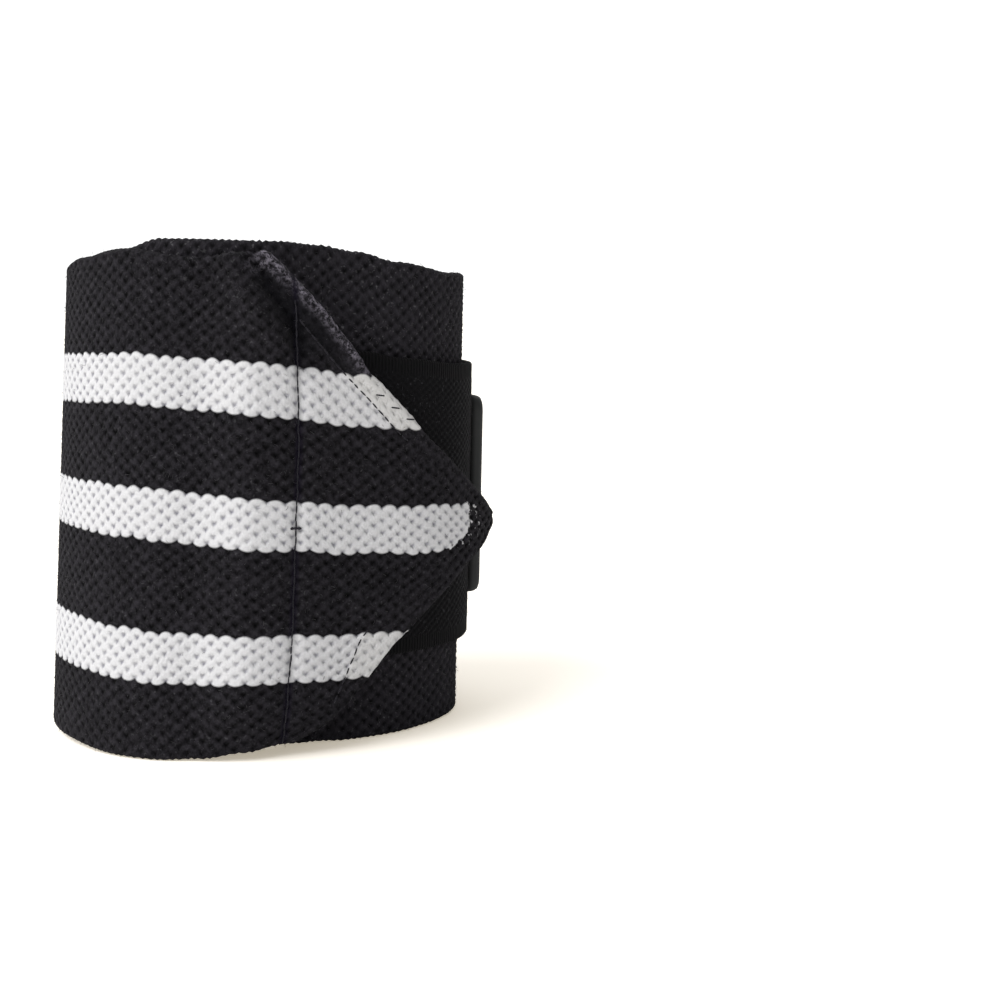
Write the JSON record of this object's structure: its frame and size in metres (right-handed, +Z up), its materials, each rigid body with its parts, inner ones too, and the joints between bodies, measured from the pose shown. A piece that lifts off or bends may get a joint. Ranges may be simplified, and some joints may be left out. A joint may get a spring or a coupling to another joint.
{
  "type": "wrist wrap",
  "caption": "Striped elastic wrist wrap for lifting, rolled up on its edge, its folded point tucked round over a hook-and-loop strap with a bare rubber patch.",
  "frame": {"origin": "centre of the bounding box in X and Y, on the surface that the roll stands on", "axes": "+Z up along the roll's axis, across the band's width; -Y towards the side with the folded point and the band's cross seam; +X towards the point's tip"},
  "size_m": [0.077, 0.0666, 0.083],
  "materials": {
    "knit": "matte black ribbed elastic knit with three white stripes",
    "tape": "matte black hook-and-loop tape",
    "rubber": "satin dark grey moulded rubber"
  },
  "bodies": {
    "root": {"elastic_band": "knit", "closure_strap": "tape", "rubber_patch": "rubber"}
  },
  "joints": []
}
